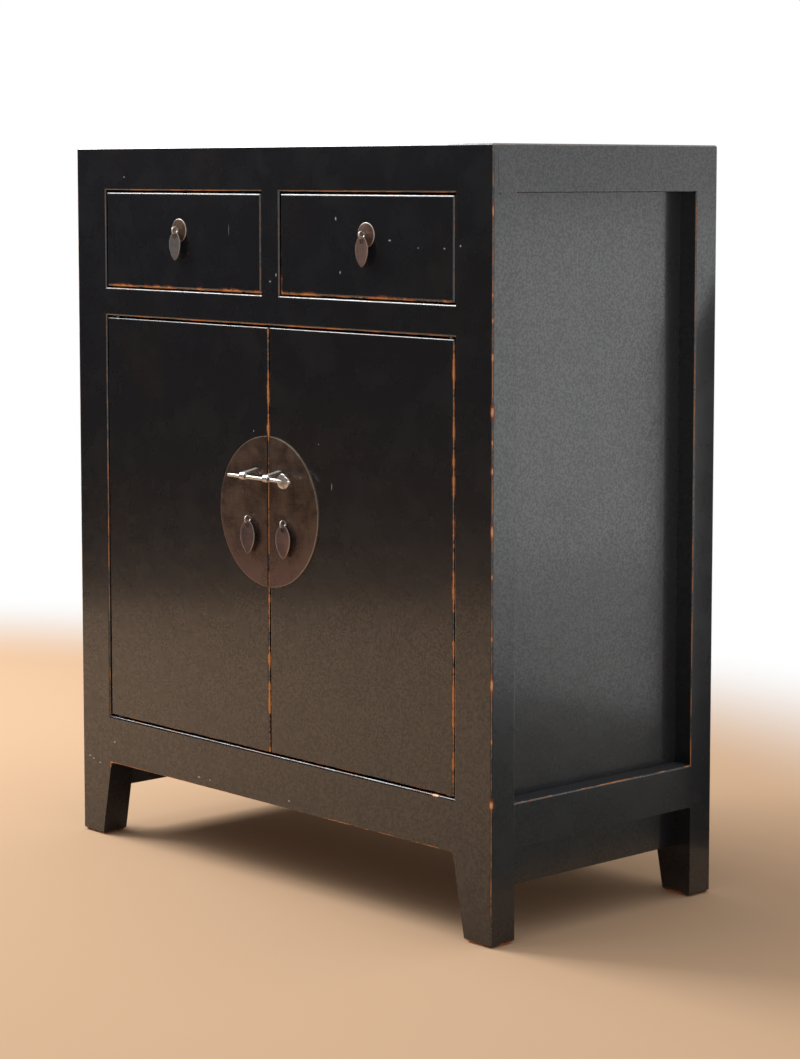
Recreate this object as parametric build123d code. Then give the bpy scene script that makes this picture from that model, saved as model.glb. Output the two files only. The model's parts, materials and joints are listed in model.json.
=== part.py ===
from build123d import *
from math import hypot
import os

os.makedirs("parts", exist_ok=True)

# Black lacquered kang cabinet: frame-and-panel carcass, two drawers, two plank doors on
# wooden pivots and a round two-part face plate with folded staples and a sliding lock pin.
# Millimetres. While the pieces are made, X runs left to right from the middle of the front,
# Y runs back from the front face of the frame, and Z runs up from the floor.

# ---------------------------------------------------------------- overall frame
width = 775.0
depth = 370.0
toe_height = 100.0              # floor to the underside of the front rail
bottom_rail_height = 61.5
door_opening_height = 523.5
mid_rail_height = 36.5
drawer_opening_height = 124.0
top_rail_height = 54.5

post_width = 61.0               # across the front
post_depth = 37.0               # along the side
toe_width = 43.0                # front width of a leg at the floor
foot_chamfer = 4.0
corner_round = 2.5              # outer vertical edges
top_edge_chamfer = 1.8
opening_round = 3.0             # eased edges round the front openings
side_round = 2.0                # eased edges round the side panels

# ---------------------------------------------------------------- rails and joints
front_bottom_rail_thickness = 30.0
side_rail_thickness = 42.0
side_bottom_rail_height = 51.5
spandrel_radius = 7.0           # small curve from the front rail into each leg
tenon_thickness = 12.0
tenon_length = 30.0             # tenons of the front and back rails
side_tenon_length = 24.0
side_tenon_inset = 8.0          # from the outer side face
tenon_shoulder = 9.0            # above and below each tenon
stub_tenon_length = 8.0
bearer_tenon_length = 9.0
divider_width = 34.0
divider_offset = 4.0            # the short post stands a little right of the middle

# ---------------------------------------------------------------- panels and boards
side_panel_recess = 25.0
side_panel_thickness = 10.0
back_panel_recess = 8.0
back_panel_thickness = 8.0
panel_tongue = 8.0              # how far a panel runs into its groove
panel_play = 0.5                # room left in the groove for the panel to move
lower_board_bottom = 59.0
lower_board_tongue = 6.0
top_board_thickness = 12.0
top_tongue_thickness = 6.0
top_shadow_gap = 0.4
deck_thickness = 10.0
deck_bearing = 6.0
bottom_board_thickness = 12.0
bottom_board_bearing = 5.0
shelf_thickness = 12.0
shelf_top = 410.0
bearer_height = 30.0
back_bearer_thickness = 20.0
board_clearance = 0.3           # round notches and beside panels
guide_height = 20.0

# ---------------------------------------------------------------- drawers
front_recess = 1.0              # doors and drawers stand this far behind the frame
drawer_gap = 1.5
drawer_bottom_gap = 1.2
drawer_front_thickness = 20.0
drawer_side_thickness = 10.0
drawer_side_height = 102.0
drawer_bottom_thickness = 6.0
drawer_bottom_rise = 6.0        # underside of the bottom above the sides' lower edges
drawer_groove = 5.0
drawer_edge_round = 4.0
slide_clearance = 0.3           # between a sliding or resting piece and its seat
drawer_stop_gap = 0.5
dovetail_count = 3
dovetail_root = 0.6             # width of a tail at its root, as a share of the pitch
dovetail_flare = 2.5
dovetail_lap = 6.0              # wood left in front of the lapped dovetails

# ---------------------------------------------------------------- doors
door_gap = 2.0
seam_gap = 2.0
door_thickness = 18.0
door_edge_round = 2.5
pivot_inset = 12.0              # pivot axis from the outer edge of the door
pivot_depth = 8.0               # pivot axis behind the front face of the door
pivot_radius = 5.0
pivot_clearance = 0.1
upper_pivot_length = 15.0
lower_pivot_length = 11.0
lift_room = 11.0                # extra depth above the upper pivot to lift the door out
batten_width = 24.0
batten_dovetail = 3.0           # how much wider the batten is at its root
batten_housing = 5.0
batten_stand = 13.0
batten_inset = 30.0
batten_from_edge = 92.0
door_stop_gap = 0.4

# ---------------------------------------------------------------- metalwork
plate_radius = 92.0
plate_center_z = 459.5
plate_thickness = 1.5
plate_setback = 1.0             # plate edge behind the edge of its door at the seam

pin_radius = 2.3
pin_reach = 20.5                # pin axis in front of the frame
pin_left = -52.0
pin_head_start = 41.0
pin_head_width = 22.0
pin_head_height = 19.0
pin_head_thickness = 2.6
pin_apex_shift = -1.1           # top of the head, from its middle
pin_cheek_drop = 1.0            # leftmost point of the head below its middle
pin_cheek_bulge = 1.9
pin_shoulder_hollow = 1.5
pin_nub_radius = 1.9
pin_nub_length = 2.2            # past the head, and as much into it

staple_offset = 22.0
staple_width = 9.0
strap_thickness = 1.3
eye_radius = 3.4
staple_leg_rise = 50.5          # legs above the middle of the plate
eye_drop = 7.1                  # eye below the legs
fold_gap = 0.2
clinch_length = 13.0
slot_clearance = 0.2

ring_radius = 4.2               # to the middle of its metal
ring_thickness = 1.7
ring_stand = 0.2                # ring in front of the plate that it passes through
ring_leg_thickness = 1.3
ring_clinch_length = 9.0
leaf_thickness = 1.4
leaf_hole_radius = 2.5
leaf_play = 0.5                 # between the ring and the top of the hole
leaf_bridge = 2.2               # metal above the hole
leaf_end_round = 4.0
leaf_belly = 0.45               # widest place, as a share of the length from the top
door_ring_offset = 33.5
door_ring_drop = 11.5           # below the middle of the plate
door_leaf_length = 43.0
door_leaf_width = 27.0
drawer_ring_rise = 13.0         # above the middle of the drawer opening
drawer_ring_shift = 3.5         # outwards from the middle of the drawer opening
drawer_leaf_length = 38.0
drawer_leaf_width = 22.0
backplate_radius = 14.5
backplate_edge = 0.8
backplate_crown = 1.8
backplate_boss_radius = 10.5    # raised middle

# ---------------------------------------------------------------- levels and lines
bottom_rail_top = toe_height + bottom_rail_height
mid_rail_bottom = bottom_rail_top + door_opening_height
mid_rail_top = mid_rail_bottom + mid_rail_height
top_rail_bottom = mid_rail_top + drawer_opening_height
height = top_rail_bottom + top_rail_height
deck_underside = mid_rail_top - deck_thickness

half_width = width / 2
half_opening = half_width - post_width
back_post_front = depth - post_depth
panel_outer = half_width - side_panel_recess
panel_inner = panel_outer - side_panel_thickness
side_rail_inner = half_width - side_rail_thickness
back_panel_front = depth - back_panel_recess - back_panel_thickness
board_back = back_panel_front - board_clearance
divider_left = divider_offset - divider_width / 2
divider_right = divider_offset + divider_width / 2

door_back = front_recess + door_thickness
door_top = mid_rail_bottom - door_gap
door_bottom = bottom_rail_top + door_gap
door_outer = half_opening - door_gap
door_inner = seam_gap / 2
pivot_x = door_outer - pivot_inset
pivot_y = front_recess + pivot_depth
swing_room = hypot(pivot_inset, max(pivot_depth, door_thickness - pivot_depth)) + door_stop_gap

plate_face = front_recess - plate_thickness
staple_leg_z = plate_center_z + staple_leg_rise
eye_center_z = staple_leg_z - eye_drop
door_ring_z = plate_center_z - door_ring_drop
eye_outer = eye_radius + strap_thickness
front_reach = pin_reach + eye_outer
ring_half = ring_thickness / 2
to_frame = Pos(0, (front_reach - depth) / 2, 0)
near = 1e-4                     # two places closer than this are the same


def block(x0, x1, y0, y1, z0, z1):
    """A square-edged piece given by its two ends along X, Y and Z."""
    middle = Pos((x0 + x1) / 2, (y0 + y1) / 2, (z0 + z1) / 2)
    return middle * Box(abs(x1 - x0), abs(y1 - y0), abs(z1 - z0))


def rod_y(x, z, radius, y0, y1):
    """A round rod along Y."""
    return Pos(x, (y0 + y1) / 2, z) * Rot(90, 0, 0) * Cylinder(radius, abs(y1 - y0))


def rod_z(x, y, radius, z0, z1):
    """A round rod along Z."""
    return Pos(x, y, (z0 + z1) / 2) * Cylinder(radius, abs(z1 - z0))


def rod_x(y, z, radius, x0, x1):
    """A round rod along X."""
    return Pos((x0 + x1) / 2, y, z) * Rot(0, 90, 0) * Cylinder(radius, abs(x1 - x0))


def other_side(piece):
    """The same piece for the opposite side of the cabinet."""
    return mirror(piece, Plane.YZ)


def easing(x0, x1, z0, z1, radius, reach):
    """A plug for a rectangular opening in the face Y=0, flared so that it rounds the edges."""
    flange = 2 * radius
    throat = block(x0, x1, -flange, reach, z0, z1)
    slab = block(x0 - flange, x1 + flange, -flange, 0, z0 - flange, z1 + flange)
    plug = throat + slab
    rim = plug.edges().filter_by(lambda e: e.bounding_box().size.Y < near and abs(e.center().Y) < near)
    inner = rim.filter_by(
        lambda e: x0 - near < e.center().X < x1 + near and z0 - near < e.center().Z < z1 + near)
    return fillet(inner, radius)


# ---------------------------------------------------------------- rails
def cross_rail(y0, y1, z0, z1, length=tenon_length):
    """A rail between the left and right posts, with a tenon of the given length on each end."""
    middle = (y0 + y1) / 2
    body = block(-half_opening, half_opening, y0, y1, z0, z1)
    reach = half_opening + length
    tenon = block(-reach, reach, middle - tenon_thickness / 2, middle + tenon_thickness / 2,
                  z0 + tenon_shoulder, z1 - tenon_shoulder)
    return body + tenon


def side_rail(z0, z1):
    """A left rail between the front and back posts, flush with their outer faces."""
    body = block(-half_width, -side_rail_inner, post_depth, back_post_front, z0, z1)
    outer = -half_width + side_tenon_inset
    tenon = block(outer, outer + tenon_thickness, post_depth - side_tenon_length,
                  back_post_front + side_tenon_length, z0 + tenon_shoulder, z1 - tenon_shoulder)
    return body + tenon


def side_bearer(z0, z1):
    """A plain left bearer behind the side panel, with a stub tenon in each post."""
    outer = -panel_inner + board_clearance
    body = block(outer, -half_opening, post_depth, back_post_front, z0, z1)
    third = (abs(outer) - half_opening) / 3
    tenon = block(outer + third, -half_opening - third, post_depth - bearer_tenon_length,
                  back_post_front + bearer_tenon_length, z0 + third, z1 - third)
    return body + tenon


def notched_board(half, y0, y1, z0, z1):
    """A level board from side to side, cut round each post that it meets."""
    board = block(-half, half, y0, y1, z0, z1)
    inner = half_opening - board_clearance
    for side in (-1, 1):
        for low, high in ((0, post_depth + board_clearance), (back_post_front - board_clearance, depth)):
            if y0 < high and y1 > low and half > inner:
                board -= block(side * inner, side * half_width, low, high, z0, z1)
    return board


groove = panel_tongue + panel_play
side_panel_void = block(-panel_outer, -panel_inner, post_depth - groove, back_post_front + groove,
                        bottom_rail_top - groove, top_rail_bottom + groove)
side_panel = block(-panel_outer, -panel_inner, post_depth - panel_tongue, back_post_front + panel_tongue,
                   bottom_rail_top - panel_tongue, top_rail_bottom + panel_tongue)
side_bottom_rail_bottom = bottom_rail_top - side_bottom_rail_height
lower_board = block(-panel_outer, -panel_inner, post_depth - panel_tongue, back_post_front + panel_tongue,
                    lower_board_bottom, side_bottom_rail_bottom + lower_board_tongue)

back_void = block(-half_opening - groove, half_opening + groove,
                  back_panel_front, back_panel_front + back_panel_thickness,
                  bottom_rail_top - groove, top_rail_bottom + groove)
back_panel = block(-half_opening - panel_tongue, half_opening + panel_tongue,
                   back_panel_front, back_panel_front + back_panel_thickness,
                   bottom_rail_top - panel_tongue, top_rail_bottom + panel_tongue)

top_low = height - top_board_thickness
top_tongue_high = top_low + top_tongue_thickness
top_core = block(-side_rail_inner + top_shadow_gap, side_rail_inner - top_shadow_gap,
                 post_depth + top_shadow_gap, back_post_front - top_shadow_gap, top_low, height)
top_tongue = notched_board(side_rail_inner + panel_tongue, post_depth - panel_tongue,
                           back_post_front + panel_tongue, top_low, top_tongue_high)
top_groove = block(-side_rail_inner - groove, side_rail_inner + groove, post_depth - groove,
                   back_post_front + groove, top_low, top_tongue_high)
top_panel = top_core + top_tongue

deck = notched_board(panel_inner - board_clearance, post_depth - deck_bearing, board_back,
                     deck_underside, mid_rail_top)
bottom_board = notched_board(side_rail_inner + bottom_board_bearing,
                             front_bottom_rail_thickness - bottom_board_bearing,
                             depth - front_bottom_rail_thickness + bottom_board_bearing,
                             bottom_rail_top - bottom_board_thickness, bottom_rail_top)


def shelf_board():
    """The shelf; its front edge stops the doors and is cut back where their outer edges swing."""
    board = notched_board(panel_inner - board_clearance, door_back + door_stop_gap, board_back,
                          shelf_top - shelf_thickness, shelf_top)
    for side in (-1, 1):
        board -= block(side * (pivot_x - swing_room), side * half_width, 0, pivot_y + swing_room,
                       shelf_top - shelf_thickness, shelf_top)
    return board


shelf = shelf_board()

# eased edges round the openings, cut from every frame member that borders them
left_drawer_easing = easing(-half_opening, divider_left, mid_rail_top, top_rail_bottom,
                            opening_round, post_depth)
right_drawer_easing = easing(divider_right, half_opening, mid_rail_top, top_rail_bottom,
                             opening_round, post_depth)
door_easing = easing(-half_opening, half_opening, bottom_rail_top, mid_rail_bottom,
                     opening_round, post_depth)
panel_easing = easing(post_depth, back_post_front, bottom_rail_top, top_rail_bottom,
                      side_round, side_panel_recess - panel_play)
panel_easing = Pos(-half_width, depth, 0) * Rot(0, 0, -90) * panel_easing
front_easings = [left_drawer_easing, right_drawer_easing, door_easing]


def top_edge(piece, axis, where):
    """Takes off the one top edge that lies on the outside of the cabinet."""
    edges = piece.edges().filter_by(lambda e: abs(e.center().Z - height) < near)
    chosen = edges.filter_by(lambda e: abs(getattr(e.center(), axis) - where) < near)
    return chamfer(chosen, top_edge_chamfer)


top_rail_front = top_edge(cross_rail(0, post_depth, top_rail_bottom, height), "Y", 0)
top_rail_front = top_rail_front - left_drawer_easing - right_drawer_easing - top_groove
top_rail_back = top_edge(cross_rail(back_post_front, depth, top_rail_bottom, height), "Y", depth)
top_rail_back = top_rail_back - top_groove - back_void
top_rail_left = top_edge(side_rail(top_rail_bottom, height), "X", -half_width)
top_rail_left = top_rail_left - top_groove - side_panel_void - panel_easing

mid_rail_front = cross_rail(0, post_depth, mid_rail_bottom, mid_rail_top)
for eased in front_easings:
    mid_rail_front -= eased
mid_rail_front -= deck
mid_rail_back = cross_rail(board_back - back_bearer_thickness, board_back,
                           deck_underside - bearer_height, deck_underside, stub_tenon_length)

divider_body = block(divider_left, divider_right, 0, post_depth, mid_rail_top, top_rail_bottom)
divider_third = post_depth / 3
divider_tenon = block(divider_left, divider_right, divider_third, 2 * divider_third,
                      mid_rail_top - stub_tenon_length, top_rail_bottom + stub_tenon_length)
drawer_divider = divider_body + divider_tenon - left_drawer_easing - right_drawer_easing
top_rail_front -= drawer_divider
mid_rail_front -= drawer_divider


def front_bottom_rail():
    """The front rail, its lower edge curving down into each leg."""
    rail = cross_rail(0, front_bottom_rail_thickness, toe_height, bottom_rail_top)
    for side in (-1, 1):
        inner = half_opening - spandrel_radius
        corner = block(side * inner, side * half_opening, 0, front_bottom_rail_thickness,
                       toe_height - spandrel_radius, toe_height)
        round_off = rod_y(side * inner, toe_height - spandrel_radius, spandrel_radius,
                          0, front_bottom_rail_thickness)
        rail += corner - round_off
    return rail - door_easing - bottom_board


bottom_rail_front = front_bottom_rail()
bottom_rail_back = cross_rail(depth - front_bottom_rail_thickness, depth, toe_height, bottom_rail_top)
bottom_rail_back = bottom_rail_back - bottom_board - back_void
bottom_rail_left = side_rail(side_bottom_rail_bottom, bottom_rail_top)
bottom_rail_left = bottom_rail_left - bottom_board - side_panel_void - lower_board - panel_easing

bearer_left_deck = side_bearer(deck_underside - bearer_height, deck_underside)
bearer_left_shelf = side_bearer(shelf_top - shelf_thickness - bearer_height, shelf_top - shelf_thickness)

guide_left = block(-panel_inner + board_clearance, -half_opening, post_depth, back_post_front,
                   mid_rail_top, mid_rail_top + guide_height)
guide_centre = block(divider_left, divider_right, post_depth, board_back,
                     mid_rail_top, mid_rail_top + guide_height)


# ---------------------------------------------------------------- posts
def left_post(y0, y1, outer_y):
    """A left post from the floor to the top; its leg tapers on the inner side."""
    taper_top = toe_height - spandrel_radius
    outline = Polyline((-half_width, 0), (-half_width + toe_width, 0), (-half_opening, taper_top),
                       (-half_opening, height), (-half_width, height), close=True)
    post = extrude(Plane.XZ * make_face(outline), amount=-(y1 - y0))
    post = Pos(0, y0, 0) * post
    post = chamfer(post.edges().group_by(Axis.Z)[0], foot_chamfer)
    corner = post.edges().filter_by(Axis.Z).filter_by(
        lambda e: abs(e.center().X + half_width) < near and abs(e.center().Y - outer_y) < near)
    post = fillet(corner, corner_round)
    rim = post.edges().group_by(Axis.Z)[-1]
    inner_y = y0 + y1 - outer_y
    outside = rim.filter_by(
        lambda e: abs(e.center().X + half_opening) > near and abs(e.center().Y - inner_y) > near)
    return chamfer(outside, top_edge_chamfer)


left_joints = [top_rail_left, bottom_rail_left, side_panel_void, lower_board, bearer_left_deck,
               bearer_left_shelf, panel_easing]
post_front_left = left_post(0, post_depth, 0)
for joint in left_joints + front_easings + [top_rail_front, mid_rail_front, bottom_rail_front]:
    post_front_left -= joint
post_back_left = left_post(back_post_front, depth, depth)
for joint in left_joints + [top_rail_back, mid_rail_back, bottom_rail_back, back_void]:
    post_back_left -= joint
post_front_right = other_side(left_post(0, post_depth, 0))
for joint in [other_side(piece) for piece in left_joints] + front_easings:
    post_front_right -= joint
for joint in (top_rail_front, mid_rail_front, bottom_rail_front):
    post_front_right -= joint
post_back_right = other_side(post_back_left)


# ---------------------------------------------------------------- ring pulls
def cotter_ring(x, y_loop, z, board_back_y):
    """A ring standing out from a board, its two flat legs through it and turned over behind."""
    loop = (Cylinder(ring_radius + ring_half, ring_thickness)
            - Cylinder(ring_radius - ring_half, ring_thickness))
    ring = Pos(x, y_loop, z) * Rot(0, 90, 0) * loop
    half = ring_leg_thickness / 2
    far = board_back_y + ring_leg_thickness
    for side in (-1, 1):
        fold_z = z + side * fold_gap / 2
        leg_z = fold_z + side * ring_leg_thickness
        ring += block(x - half, x + half, y_loop + ring_radius, far, fold_z, leg_z)
        ring += block(x - half, x + half, board_back_y, far, fold_z, z + side * ring_clinch_length)
    return ring


def ring_slot(x, z, y0, y1):
    """The slot that both legs of a ring pass through."""
    half = ring_leg_thickness / 2 + slot_clearance
    tall = ring_leg_thickness + fold_gap / 2 + slot_clearance
    return block(x - half, x + half, y0, y1, z - tall, z + tall)


def leaf(x, y_loop, z, length, leaf_width):
    """A leaf pull hanging on the lowest point of its ring: four arcs that meet in two soft ends."""
    hole_z = z - ring_radius - (leaf_hole_radius - ring_half - leaf_play)
    top = hole_z + leaf_hole_radius + leaf_bridge
    tip = z - length
    belly = top - leaf_belly * (top - tip)
    half = leaf_width / 2
    arcs = []
    for side in (-1, 1):
        arcs.append(TangentArc((side * half, belly), (0, top), tangent=(0, 1)))
        arcs.append(TangentArc((side * half, belly), (0, tip), tangent=(0, -1)))
    outline = make_face(arcs)
    ends = outline.vertices().filter_by(lambda v: abs(v.X) < near)
    outline = fillet(ends, leaf_end_round)
    sheet = extrude(Plane.XZ * outline, amount=leaf_thickness / 2, both=True)
    sheet -= rod_y(0, hole_z, leaf_hole_radius, -leaf_thickness, leaf_thickness)
    return Pos(x, y_loop, 0) * sheet


# ---------------------------------------------------------------- drawers
def back_plate(x, z):
    """A round back plate with a raised middle, slotted for its ring."""
    plate = rod_y(x, z, backplate_radius, front_recess - backplate_edge, front_recess)
    boss = rod_y(x, z, backplate_boss_radius, front_recess - backplate_crown, front_recess)
    return plate + boss - ring_slot(x, z, front_recess - backplate_crown, front_recess)


def dovetails(y_root, y_tip, x0, x1, z0, tall):
    """Tails that flare from y_root towards y_tip, spaced evenly over the height of a drawer side."""
    pitch = tall / dovetail_count
    tails = None
    for index in range(dovetail_count):
        middle = z0 + (index + 0.5) * pitch
        narrow = pitch * dovetail_root / 2
        wide = narrow + dovetail_flare
        outline = Polyline((y_root, middle - narrow), (y_root, middle + narrow),
                           (y_tip, middle + wide), (y_tip, middle - wide), close=True)
        tail = extrude(Plane.YZ * make_face(outline), amount=x1 - x0)
        tail = Pos(x0, 0, 0) * tail
        tails = tail if tails is None else tails + tail
    return tails


def drawer(x0, x1):
    """The pieces of the drawer for the opening from x0 to x1, by their plain names."""
    left = x0 + drawer_gap
    right = x1 - drawer_gap
    ring_x = (x0 + x1) / 2 + (drawer_ring_shift if x0 + x1 > 0 else -drawer_ring_shift)
    front_back = front_recess + drawer_front_thickness
    base = mid_rail_top + slide_clearance
    side_top = base + drawer_side_height
    rear = back_panel_front - drawer_stop_gap
    rear_inner = rear - drawer_side_thickness
    floor_low = base + drawer_bottom_rise
    floor_high = floor_low + drawer_bottom_thickness

    face = block(left, right, front_recess, front_back, mid_rail_top + drawer_bottom_gap,
                 top_rail_bottom - drawer_gap)
    rim = face.edges().group_by(Axis.Y)[0]
    face = fillet(rim, drawer_edge_round)

    side_outline = block(left, left + drawer_side_thickness, front_back, rear_inner, base, side_top)
    lapped = dovetails(front_back, front_recess + dovetail_lap, left, left + drawer_side_thickness,
                       base, drawer_side_height)
    through = dovetails(rear_inner, rear, left, left + drawer_side_thickness, floor_high,
                        side_top - floor_high)
    groove_inset = drawer_side_thickness - drawer_groove
    floor_board = block(left + groove_inset, right - groove_inset, front_back - drawer_groove, rear,
                        floor_low, floor_high)
    side_left = side_outline + lapped + through - floor_board
    across = Pos(left + right, 0, 0)
    side_right = across * other_side(side_left)
    back = block(left, right, rear_inner, rear, floor_high, side_top)

    face = face - side_left - side_right - floor_board
    back = back - side_left - side_right

    ring_z = (mid_rail_top + top_rail_bottom) / 2 + drawer_ring_rise
    loop_y = front_recess - backplate_crown - ring_stand - ring_half - ring_radius
    slot = ring_slot(ring_x, ring_z, front_recess, front_back)
    return {"front": face - slot, "side_left": side_left, "side_right": side_right, "back": back,
            "bottom": floor_board, "backplate": back_plate(ring_x, ring_z),
            "ring": cotter_ring(ring_x, loop_y, ring_z, front_back),
            "leaf": leaf(ring_x, loop_y, ring_z, drawer_leaf_length, drawer_leaf_width)}


# ---------------------------------------------------------------- doors
def batten(side, z):
    """A batten across the back of a door, its root housed in a sliding dovetail."""
    root = batten_width / 2 + batten_dovetail
    half = batten_width / 2
    low = door_back - batten_housing
    high = door_back + batten_stand
    outline = Polyline((low, z - root), (low, z + root), (door_back, z + half), (high, z + half),
                       (high, z - half), (door_back, z - half), close=True)
    span = door_outer - door_inner - 2 * batten_inset
    bar = Pos(door_inner + batten_inset, 0, 0) * extrude(Plane.YZ * make_face(outline), amount=span)
    return bar if side > 0 else other_side(bar)


def folded_staple(x):
    """A strap folded round an eye, both legs through plate and door and turned over behind."""
    top_line = eye_center_z + eye_outer - strap_thickness
    path = Polyline((-pin_reach, top_line), (plate_face, staple_leg_z), (door_back, staple_leg_z))
    legs = trace(path, 2 * strap_thickness)
    eye = Pos(-pin_reach, eye_center_z) * Circle(eye_outer)
    hole = Pos(-pin_reach, eye_center_z) * Circle(eye_radius)
    fold_end = door_back + strap_thickness
    behind = door_back + strap_thickness / 2
    turned = Pos(behind, staple_leg_z) * Rectangle(strap_thickness, 2 * clinch_length)
    fold_path = Polyline((-pin_reach, top_line), (plate_face, staple_leg_z), (fold_end, staple_leg_z))
    fold = trace(fold_path, fold_gap)
    profile = legs + eye + turned - hole - fold
    strap = extrude(Plane.YZ * profile, amount=staple_width / 2, both=True)
    return Pos(x, 0, 0) * strap


def staple_slot(x):
    """The slot that the two legs of a folded staple pass through."""
    half = staple_width / 2 + slot_clearance
    tall = strap_thickness + slot_clearance
    return block(x - half, x + half, plate_face, door_back, staple_leg_z - tall, staple_leg_z + tall)


def door(side):
    """The pieces of one door: side is -1 for the left door and 1 for the right."""
    outer = side * door_outer
    inner = side * door_inner
    panel = block(inner, outer, front_recess, door_back, door_bottom, door_top)
    panel = fillet(panel.edges().group_by(Axis.Y)[0], door_edge_round)
    axis_x = side * pivot_x
    panel += rod_z(axis_x, pivot_y, pivot_radius, door_top, door_top + upper_pivot_length)
    panel += rod_z(axis_x, pivot_y, pivot_radius, door_bottom - lower_pivot_length, door_bottom)
    battens = [batten(side, door_bottom + batten_from_edge), batten(side, door_top - batten_from_edge)]
    for bar in battens:
        panel -= bar

    disc = rod_y(0, plate_center_z, plate_radius, plate_face, front_recess)
    edge = side * (door_inner + plate_setback)
    plate = disc & block(edge, side * 2 * plate_radius, plate_face, front_recess,
                         plate_center_z - 2 * plate_radius, plate_center_z + 2 * plate_radius)

    staple_x = side * staple_offset
    ring_x = side * door_ring_offset
    loop_y = plate_face - ring_stand - ring_half - ring_radius
    voids = staple_slot(staple_x) + ring_slot(ring_x, door_ring_z, plate_face, door_back)
    return {"panel": panel - voids, "battens": Compound(children=battens), "plate": plate - voids,
            "staple": folded_staple(staple_x),
            "ring": cotter_ring(ring_x, loop_y, door_ring_z, door_back),
            "leaf": leaf(ring_x, loop_y, door_ring_z, door_leaf_length, door_leaf_width)}


def lock_pin():
    """A round pin, flattened at its right end to a leaf-shaped head with a small nub."""
    z = eye_center_z - (eye_radius - pin_radius - slide_clearance)
    across = pin_head_width / 2
    tall = pin_head_height / 2
    middle = pin_head_start + across
    shaft = rod_x(-pin_reach, z, pin_radius, pin_left, middle)
    apex = (pin_apex_shift, tall)
    cheek = (-across, -pin_cheek_drop)
    shoulder = (across, 0)
    outline = make_face([SagittaArc(apex, cheek, -pin_cheek_bulge),
                         ThreePointArc(cheek, (pin_apex_shift, -tall), shoulder),
                         SagittaArc(shoulder, apex, pin_shoulder_hollow)])
    head = extrude(Plane.XZ * outline, amount=pin_head_thickness / 2, both=True)
    nub = rod_x(0, 0, pin_nub_radius, across - pin_nub_length, across + pin_nub_length)
    return shaft + Pos(middle, -pin_reach, z) * (head + nub)


# sockets for the wooden pivots of the doors
for side in (-1, 1):
    socket_radius = pivot_radius + pivot_clearance
    upper_end = door_top + upper_pivot_length + lift_room
    mid_rail_front -= rod_z(side * pivot_x, pivot_y, socket_radius, mid_rail_bottom, upper_end)
    lower_end = door_bottom - lower_pivot_length - slide_clearance
    bottom_rail_front -= rod_z(side * pivot_x, pivot_y, socket_radius, lower_end, bottom_rail_top)

pieces = {
    "post_front_left": post_front_left,
    "post_front_right": post_front_right,
    "post_back_left": post_back_left,
    "post_back_right": post_back_right,
    "top_rail_front": top_rail_front,
    "top_rail_back": top_rail_back,
    "top_rail_left": top_rail_left,
    "top_rail_right": other_side(top_rail_left),
    "top_panel": top_panel,
    "mid_rail_front": mid_rail_front,
    "mid_rail_back": mid_rail_back,
    "drawer_divider": drawer_divider,
    "bottom_rail_front": bottom_rail_front,
    "bottom_rail_back": bottom_rail_back,
    "bottom_rail_left": bottom_rail_left,
    "bottom_rail_right": other_side(bottom_rail_left),
    "lower_board_left": lower_board,
    "lower_board_right": other_side(lower_board),
    "side_panel_left": side_panel,
    "side_panel_right": other_side(side_panel),
    "back_panel": back_panel,
    "drawer_deck": deck,
    "deck_bearer_left": bearer_left_deck,
    "deck_bearer_right": other_side(bearer_left_deck),
    "drawer_guide_left": guide_left,
    "drawer_guide_right": other_side(guide_left),
    "drawer_guide_centre": guide_centre,
    "shelf": shelf,
    "shelf_bearer_left": bearer_left_shelf,
    "shelf_bearer_right": other_side(bearer_left_shelf),
    "bottom_board": bottom_board,
    "lock_pin": lock_pin(),
}
openings = {"drawer_left": (-half_opening, divider_left), "drawer_right": (divider_right, half_opening)}
for name, (x0, x1) in openings.items():
    for piece_name, piece in drawer(x0, x1).items():
        pieces[f"{name}_{piece_name}"] = piece
for name, side in (("door_left", -1), ("door_right", 1)):
    for piece_name, piece in door(side).items():
        pieces[f"{name}_{piece_name}"] = piece

for name, piece in pieces.items():
    export_step(to_frame * piece, f"parts/{name}.step")
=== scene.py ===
import json
from math import radians, tau

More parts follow.
